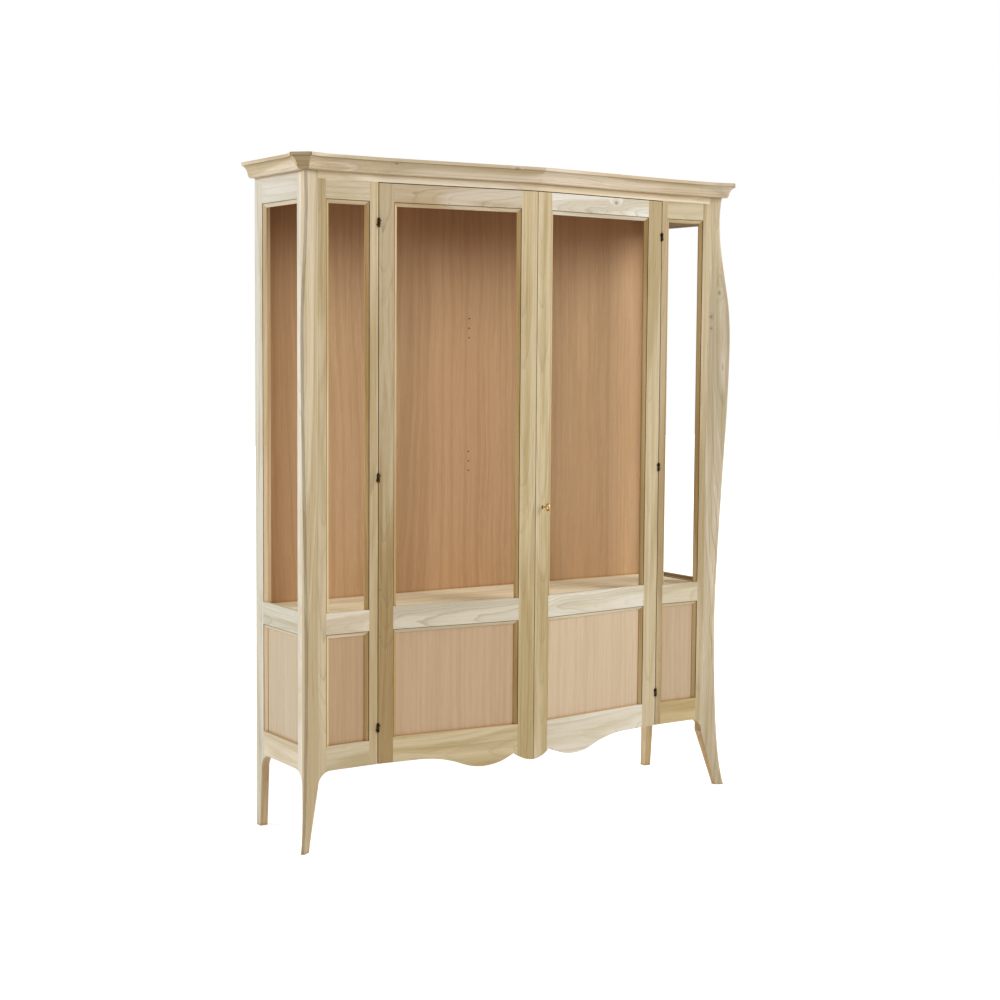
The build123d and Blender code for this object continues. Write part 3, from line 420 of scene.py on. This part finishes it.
# Each side: tones of the rear post, of its bevels and of the cornice
SIDES = [
    ("left", (200, 193, 175), (1.28, 1.03, 0.76), (206, 190, 164)),
    ("right", (196, 176, 140), (0.8, 0.72, 0.58), (206, 188, 158)),
]
for name, rear, rear_edge, cornice in SIDES:
    BOARDS += [
        (f"rear_post_{name}", "side_up", rear, {"contrast": 0.7, "edge": rear_edge}),
        (f"cornice_side_{name}", "side_along", cornice, {}),
        (f"side_panel_{name}", "side_up", (195, 177, 150), PANEL),
    ]
LEFT, RIGHT = {"turn": -DOOR_TURN}, {"turn": DOOR_TURN}
BOARDS += [
    ("door_hinge_stile_left", "front_up", (184, 164, 129),
     {**LEFT, "share": 0.55, "heart": (0.80, 0.69, 0.50), "wave": 0.01, "rise": 0.3, "ring": 0.7,
      "edge": BRIGHT}),
    ("door_meeting_stile_left", "front_up", (199, 179, 139), {**LEFT, "share": 0.5, "rise": 0.12}),
    ("door_top_rail_left", "front_across", (199, 184, 160),
     {**RAIL, **LEFT, "contrast": 1.2, "share": 0.3, "heart": (0.86, 0.75, 0.58)}),
    ("door_mid_rail_left", "front_across", (209, 197, 174), {**RAIL, **LEFT, "heart": (0.86, 0.86, 0.84)}),
    ("door_bottom_rail_left", "front_across", (201, 182, 143),
     {**LEFT, "share": 0.5, "wave": 0.01, "lean": 2.5}),
    ("door_panel_left", "front_up", (196, 166, 132), {**PANEL, **LEFT}),
    ("door_hinge_stile_right", "front_up", (188, 170, 135), {**RIGHT, "rise": -0.22}),
    ("door_meeting_stile_right", "front_up", (195, 177, 140), {**RIGHT, "edge": BRIGHT}),
    ("door_top_rail_right", "front_across", (213, 205, 191), {**RAIL, **RIGHT}),
    ("door_mid_rail_right", "front_across", (211, 202, 182), {**RAIL, **RIGHT}),
    ("door_bottom_rail_right", "front_across", (213, 203, 183), {**RAIL, **RIGHT}),
    ("door_panel_right", "front_up", (202, 178, 148), {**PANEL, **RIGHT}),
    ("light_panel_left", "front_up", (185, 154, 119), PANEL),
    ("light_panel_right", "front_up", (191, 166, 135), PANEL),
    # Painted shade: the top board's tone is darkened, as its underside lies in shade
    ("top_board", "flat_across", (172, 138, 102), {"contrast": 0.6}),
    # Painted light: the shelf's tone is raised near white, as it lies in bright light
    ("mid_shelf", "flat_across", (254, 243, 212), {"contrast": 0.6}),
    ("bottom_board", "flat_across", (228, 198, 162), {"contrast": 0.6}),
    ("rear_bottom_rail", "front_across", (205, 188, 156), {}),
    ("back_panel", "front_up", (204, 166, 123),
     {"gap": 0.0032, "pith": (0.3, 0.12), "wave": 0.01, "ring": 0.4, "contrast": 0.4, "bands": 60.0,
      # Painted shade: the edge tone draws the walls of the peg holes and the panel's edges near black
      "heart": (0.86, 0.80, 0.72), "fibre": 0.15, "edge": (0.1, 0.06, 0.035), "streak": 0.25,
      "shaded_top": (0.68, 0.55, 0.47), "shade_across": BACK_SHADE_ACROSS}),
]

# Knots: place on the face, width and height of the knot
KNOTS = {
    "cornice_front": (((0.508, -0.165, 2.079), 0.010, 0.005), ((0.103, -0.205, 2.085), 0.012, 0.005)),
    "door_top_rail_right": (((0.338, -0.148, 2.006), 0.016, 0.013), ((0.296, -0.152, 1.9775), 0.012, 0.003)),
    "corner_post_right": (((0.791, -0.136, 1.722), 0.007, 0.012), ((0.7665, -0.146, 1.640), 0.008, 0.012),
                          ((0.7665, -0.146, 1.600), 0.006, 0.008), ((0.741, -0.156, 1.192), 0.005, 0.010)),
    "door_hinge_stile_left": (((-0.541, -0.127, 0.781), 0.005, 0.006),
                              ((-0.541, -0.127, 0.635), 0.004, 0.005)),
}
for index, (node, cut, tone, other) in enumerate(BOARDS):
    dress(node, wood(node, cut, rgb(*tone), seed=index + 1, knots=KNOTS.get(node, ()), **other))

bronze = metal("dark_bronze", rgb(70, 56, 38), rgb(30, 23, 17), 0.5)
brass = metal("key_brass", rgb(206, 172, 106), rgb(150, 116, 62), 0.3)
steel = metal("zinc_steel", rgb(170, 168, 160), rgb(120, 116, 108), 0.4, (40, 40, 300))
for name in ("left", "right"):
    dress(f"hinge_lower_{name}", bronze)
    dress(f"hinge_upper_{name}", bronze)
dress("key", brass)
STEEL_NODES = ("lock_case", "lock_plates", "lock_bolt", "door_bolt_guides", "door_bolt_top",
               "door_bolt_bottom")
for node in STEEL_NODES:
    dress(node, steel)


# Round of the apron into each leg: the boards beside the legs get their band-sawn lower ends,
# which the solids have bent the other way
SAW_OVERRUN = 0.03  # how far the cut runs down past the top of the leg
RAIL_OVERRUN = 0.05  # and past the hinge end of the front rail
SAW_SIDE = 0.01
FILL_LAP = 0.006


def apron_arch(legs, way_out, count=32):
    """Outline of the open arch under a frame, leg to leg, as place along the frame and height."""
    outline = []
    for leg, way in zip(legs, way_out):
        centre = leg + way * APRON_RADIUS
        angles = [pi / 2 * step / count for step in range(count + 1)]
        stretch = [(centre - way * APRON_RADIUS * cos(a), LEG_TOP + APRON_RADIUS * sin(a)) for a in angles]
        foot = [(leg, LEG_TOP - SAW_OVERRUN)]
        outline += foot + stretch if way > 0 else stretch[::-1] + foot
    return outline


def prism(name, outline, place, near, far):
    """A closed prism over an outline, between two depths.

    place turns a place along the frame, a height and a depth into a point.
    """
    form = bmesh.new()
    rings = [[form.verts.new(place(u, z, depth)) for u, z in outline] for depth in (near, far)]
    form.faces.new(rings[0])
    form.faces.new(rings[1])
    for i in range(len(outline)):
        j = (i + 1) % len(outline)
        form.faces.new((rings[0][i], rings[0][j], rings[1][j], rings[1][i]))
    bmesh.ops.recalc_face_normals(form, faces=form.faces)
    mesh = bpy.data.meshes.new(name)
    form.to_mesh(mesh)
    form.free()
    solid = bpy.data.objects.new(name, mesh)
    bpy.context.scene.collection.objects.link(solid)
    return solid


def rounded_board(node, start, end, arch, place, thick):
    """A board whose lower end follows the arch: filled square down to the leg's top, then cut."""
    mesh = NODES[node].data.copy()
    form = bmesh.new()
    form.from_mesh(mesh)
    bmesh.ops.remove_doubles(form, verts=form.verts, dist=1e-6)
    form.to_mesh(mesh)
    form.free()
    piece = bpy.data.objects.new("rounded_" + node, mesh)
    bpy.context.scene.collection.objects.link(piece)
    top = APRON_Z + FILL_LAP
    fill = prism("fill", [(start, LEG_TOP), (end, LEG_TOP), (end, top), (start, top)], place, 0, thick)
    saw = prism("saw", arch, place, -SAW_SIDE, thick + SAW_SIDE)
    for tool, operation in ((fill, "UNION"), (saw, "DIFFERENCE")):
        cut = piece.modifiers.new(operation.lower(), "BOOLEAN")
        cut.operation = operation
        cut.solver = "EXACT"
        cut.object = tool
    bpy.context.view_layer.update()
    made = bpy.data.meshes.new_from_object(piece.evaluated_get(bpy.context.evaluated_depsgraph_get()))
    piece.modifiers.clear()
    piece.data = made
    for tool in (fill, saw):
        bpy.data.objects.remove(tool)
    made.materials.clear()
    made.materials.append(NODES[node].material_slots[0].material)
    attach(piece, "case")
    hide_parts(node)


def build_apron_rounds():
    """The ten boards of the front lights and side frames that meet a leg."""
    for side, name in ((-1, "left"), (1, "right")):
        def front(u, z, depth):
            return (side * u, FACE_Y + depth, z)

        def flank(u, z, depth):
            return (side * (BODY_HALF - depth), FACE_Y + u, z)

        joint = BODY_HALF - POST_SQUARE
        rail_end = HINGE_X - RAIL_OVERRUN
        arch = [(rail_end, LEG_TOP - SAW_OVERRUN), (rail_end, APRON_Z)] + apron_arch((joint,), (-1,))
        inner = joint - STILE_W
        rail = sorted(abs(corner[0]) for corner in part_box("light_hinge_stile_" + name))[1]
        rounded_board("light_outer_stile_" + name, inner, joint, arch, front, FRAME_T)
        rounded_board("light_bottom_rail_" + name, rail - BEVEL_W, inner, arch, front, FRAME_T)

        stile_end = POST_SQUARE + STILE_W
        post_start = CASE_DEPTH - REAR_POST_W
        arch = apron_arch((POST_SQUARE, CASE_DEPTH - REAR_LEG_W), (1, -1))
        rounded_board("side_front_stile_" + name, POST_SQUARE, stile_end, arch, flank, FRAME_T)
        rounded_board("side_bottom_rail_" + name, stile_end, post_start, arch, flank, FRAME_T)
        rounded_board("rear_post_" + name, post_start, CASE_DEPTH, arch, flank, REAR_POST_T)


build_apron_rounds()


# Small fittings that repeat: pins of the back and screws of the lock and slide bolts
PIN_EDGE = 0.007  # pins lie this far inside the edge of the back
PIN_CORNER = 0.12
BOLT_FROM_EDGE = 0.026
GUIDE_HALF = 0.008
GUIDE_DEPTH = 0.024
GUIDE_HEIGHTS = (1.9895, 0.340)
LOCK_SCREW_IN = 0.046  # from the closing edge of the door
LOCK_SCREW_OUT = 0.01
LOCK_SCREW_HEIGHTS = (0.994, 1.042)
HEAD_TURN = 3.1  # each slot is turned by a random angle of up to this many radians


def socket_named(tree, name):
    """Identifier of a modifier input by the name it was given."""
    return next(item.identifier for item in tree.interface.items_tree if item.name == name)


def fastener_tree(material):
    """Geometry Nodes that set round heads, slotted or plain, along the lines of a mesh."""
    tree = bpy.data.node_groups.new("fastener_row", "GeometryNodeTree")
    inputs = (("Lines", "Geometry"), ("Spacing", "Float"), ("Head Radius", "Float"),
              ("Head Height", "Float"), ("Slot Width", "Float"), ("Facing", "Vector"), ("Seed", "Int"))
    for name, kind in inputs:
        tree.interface.new_socket(name, in_out="INPUT", socket_type="NodeSocket" + kind)
    tree.interface.new_socket("Heads", in_out="OUTPUT", socket_type="NodeSocketGeometry")

    def node(kind, inputs=None, **settings):
        made = tree.nodes.new(kind)
        for key, value in settings.items():
            setattr(made, key, value)
        for key, value in (inputs or {}).items():
            if isinstance(value, bpy.types.NodeSocket):
                tree.links.new(value, made.inputs[key])
            else:
                made.inputs[key].default_value = value
        return made

    given = node("NodeGroupInput").outputs
    line = node("GeometryNodeMeshToCurve", {"Mesh": given["Lines"]}).outputs["Curve"]
    row = node("GeometryNodeResampleCurve", {"Curve": line, "Length": given["Spacing"]},
               mode="LENGTH").outputs[0]
    ball = node("GeometryNodeMeshUVSphere", {"Segments": 16, "Rings": 8, "Radius": 1.0}).outputs["Mesh"]
    form = node("ShaderNodeCombineXYZ", {0: given["Head Radius"], 1: given["Head Radius"],
                                         2: given["Head Height"]}).outputs[0]
    dome = node("GeometryNodeTransform", {"Geometry": ball, "Scale": form}).outputs[0]
    length = node("ShaderNodeMath", {0: given["Head Radius"], 1: 3.0}, operation="MULTIPLY").outputs[0]
    blade = node("ShaderNodeCombineXYZ", {0: length, 1: given["Slot Width"],
                                          2: given["Head Height"]}).outputs[0]
    bar = node("GeometryNodeMeshCube", {"Size": blade}).outputs["Mesh"]
    raised = node("ShaderNodeCombineXYZ", {2: given["Head Height"]}).outputs[0]
    bar = node("GeometryNodeTransform", {"Geometry": bar, "Translation": raised}).outputs[0]
    head = node("GeometryNodeMeshBoolean", {"Mesh 1": dome, "Mesh 2": bar},
                operation="DIFFERENCE").outputs[0]
    aligned = node("FunctionNodeAlignRotationToVector", {"Vector": given["Facing"]}, axis="Z").outputs[0]
    heads = node("GeometryNodeInstanceOnPoints", {"Points": row, "Instance": head,
                                                  "Rotation": aligned}).outputs[0]
    angle = node("FunctionNodeRandomValue", {"Seed": given["Seed"]}, data_type="FLOAT")
    angle.inputs[3].default_value = HEAD_TURN
    spin = node("ShaderNodeCombineXYZ", {2: angle.outputs[1]}).outputs[0]
    turned = node("GeometryNodeRotateInstances", {"Instances": heads, "Rotation": spin,
                                                  "Local Space": True}).outputs[0]
    solid = node("GeometryNodeRealizeInstances", {"Geometry": turned}).outputs[0]
    finish = node("GeometryNodeSetMaterial", {"Geometry": solid, "Material": material}).outputs[0]
    node("NodeGroupOutput", {"Heads": finish})
    return tree


def fasteners(name, tree, lines, body, slot, material, **sizes):
    """Run the fastener tree along straight lines and keep the result as one plain mesh on a body."""
    mesh = bpy.data.meshes.new(name + "_lines")
    points = [point for line in lines for point in line]
    mesh.from_pydata(points, [(i, i + 1) for i in range(0, len(points), 2)], [])
    guide = bpy.data.objects.new(name + "_lines", mesh)
    bpy.context.scene.collection.objects.link(guide)
    modifier = guide.modifiers.new("heads", "NODES")
    modifier.node_group = tree
    for key, value in sizes.items():
        modifier[socket_named(tree, key.replace("_", " ").title())] = value
    bpy.context.view_layer.update()
    made = bpy.data.meshes.new_from_object(guide.evaluated_get(bpy.context.evaluated_depsgraph_get()))
    guide.modifiers.remove(modifier)
    bpy.data.objects.remove(guide)
    made.materials.clear()
    made.materials.append(material)
    piece = bpy.data.objects.new(name, made)
    bpy.context.scene.collection.objects.link(piece)
    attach(piece, body)


def on_door(side, along, height, depth):
    """Point on a door: distance from its hinge, height, and depth behind its face."""
    x = HINGE_X - along * cos(DOOR_TURN) - depth * sin(DOOR_TURN)
    return (side * x, FACE_Y - along * sin(DOOR_TURN) + depth * cos(DOOR_TURN), height)


def build_fasteners():
    """Pins round the back panel, screws on the slide bolts' guides and on the lock."""
    tree = fastener_tree(steel)
    low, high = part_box("back_panel")
    rear = high[1]
    left, right = low[0] + PIN_EDGE, high[0] - PIN_EDGE
    foot, head = low[2] + PIN_EDGE, high[2] - PIN_EDGE
    frame_lines = [((x, rear, foot), (x, rear, head)) for x in (left, right)]
    frame_lines += [((left + PIN_CORNER, rear, z), (right - PIN_CORNER, rear, z)) for z in (foot, head)]
    fasteners("back_pins", tree, frame_lines, "case", "steel", steel, spacing=0.145, head_radius=0.003,
              head_height=0.0008, slot_width=0.0001, facing=(0, 1, 0), seed=4)

    bolt_along = DOOR_LENGTH - BOLT_FROM_EDGE
    guide_lines = [(on_door(-1, bolt_along - GUIDE_HALF, z, GUIDE_DEPTH),
                    on_door(-1, bolt_along + GUIDE_HALF, z, GUIDE_DEPTH)) for z in GUIDE_HEIGHTS]
    inward = (sin(DOOR_TURN), cos(DOOR_TURN), 0)
    fasteners("guide_screws", tree, guide_lines, "door_left", "steel", steel, spacing=0.0155,
              head_radius=0.0025, head_height=0.0012, slot_width=0.0007, facing=inward, seed=7)

    near, far = DOOR_LENGTH - LOCK_SCREW_IN, DOOR_LENGTH - LOCK_SCREW_OUT
    lock_lines = [(on_door(1, near, z, FRAME_T), on_door(1, far, z, FRAME_T)) for z in LOCK_SCREW_HEIGHTS]
    inward = (-sin(DOOR_TURN), cos(DOOR_TURN), 0)
    fasteners("lock_screws", tree, lock_lines, "door_right", "steel", steel, spacing=0.0355,
              head_radius=0.0025, head_height=0.001, slot_width=0.0007, facing=inward, seed=11)


build_fasteners()


# Camera, solved from the straight edges of the cabinet in the photograph
CAMERA_TURN, CAMERA_PITCH, CAMERA_ROLL = radians(33.6023), radians(4.5860), radians(0.4207)
CAMERA_PLACE = (-3.2436, -4.7318, 1.52516)
FOCAL_PIXELS = 1776.16
FRAME_PIXELS = 1000
SENSOR_WIDTH = 36
FRAME_SHIFT = -0.0089
CLIP_END = 60


def set_camera():
    """Camera of the photograph."""
    azimuth, pitch, roll = CAMERA_TURN, CAMERA_PITCH, CAMERA_ROLL
    ahead = Vector((sin(azimuth) * cos(pitch), cos(azimuth) * cos(pitch), -sin(pitch)))
    level = Vector((cos(azimuth), -sin(azimuth), 0))
    up = level.cross(ahead)
    right = cos(roll) * level + sin(roll) * up
    top = cos(roll) * up - sin(roll) * level
    data = bpy.data.cameras.new("photo_camera")
    data.sensor_width = SENSOR_WIDTH
    data.lens = FOCAL_PIXELS / FRAME_PIXELS * SENSOR_WIDTH
    data.shift_y = FRAME_SHIFT
    data.clip_end = CLIP_END
    camera = bpy.data.objects.new("photo_camera", data)
    bpy.context.scene.collection.objects.link(camera)
    spot = Vector(CAMERA_PLACE) + Vector((0, FACE_Y, 0))
    camera.matrix_world = Matrix.Translation(spot) @ Matrix((right, top, -ahead)).transposed().to_4x4()
    bpy.context.scene.camera = camera


# Studio
def softbox(name, azimuth, height, distance, size, power):
    """A soft square lamp, placed by the angles at which its light falls on the cabinet."""
    data = bpy.data.lights.new(name, "AREA")
    data.shape = "SQUARE"
    data.size = size
    data.energy = power
    lamp = bpy.data.objects.new(name, data)
    bpy.context.scene.collection.objects.link(lamp)
    azimuth, height = radians(azimuth), radians(height)
    way = Vector((sin(azimuth) * cos(height), -cos(azimuth) * cos(height), sin(height)))
    lamp.location = Vector((0, 0, 1.0)) + way * distance
    lamp.rotation_euler = (-way).to_track_quat("-Z", "Y").to_euler()


def build_studio():
    """White floor and world, a high soft key on the right and a weaker light behind the left side."""
    mesh = bpy.data.meshes.new("studio_floor")
    mesh.from_pydata([(-20, -20, 0), (20, -20, 0), (20, 20, 0), (-20, 20, 0)], [], [(0, 1, 2, 3)])
    floor = bpy.data.objects.new("studio_floor", mesh)
    bpy.context.scene.collection.objects.link(floor)
    material, tree, shader = new_material("studio_floor")
    rays = add(tree, "LightPath").outputs
    seen = maths(tree, "MAXIMUM", rays["Is Camera Ray"], rays["Is Glossy Ray"])
    white = mix(tree, seen, (0.75, 0.75, 0.75, 1), (0.82, 0.82, 0.82, 1))
    tree.links.new(white, shader.inputs["Base Color"])
    shader.inputs["Roughness"].default_value = 0.9
    shader.inputs["Emission Color"].default_value = (1, 1, 1, 1)
    reach = offset_from(tree, add(tree, "TexCoord").outputs["Object"], (0, 0, 0), (4, 4, 4))
    glow = ramp(tree, reach, ((0.25, 0.6), (1.0, 1.0)), "EASE")
    tree.links.new(maths(tree, "MULTIPLY", seen, glow), shader.inputs["Emission Strength"])
    mesh.materials.append(material)

    world = bpy.data.worlds.new("studio_world")
    world.use_nodes = True
    bpy.context.scene.world = world
    nodes = world.node_tree
    background = nodes.nodes["Background"]
    background.inputs["Color"].default_value = (1, 1, 1, 1)
    rays = nodes.nodes.new("ShaderNodeLightPath")
    strength = nodes.nodes.new("ShaderNodeMapRange")
    strength.inputs["To Min"].default_value = 0.45
    strength.inputs["To Max"].default_value = 1.0
    nodes.links.new(rays.outputs["Is Camera Ray"], strength.inputs["Value"])
    nodes.links.new(strength.outputs[0], background.inputs["Strength"])

    softbox("key_light", azimuth=45, height=27, distance=11.0, size=7.0, power=950)
    softbox("side_light", azimuth=-120, height=14, distance=11.0, size=5.5, power=760)


set_camera()
build_studio()
bpy.context.scene.view_settings.view_transform = "Standard"
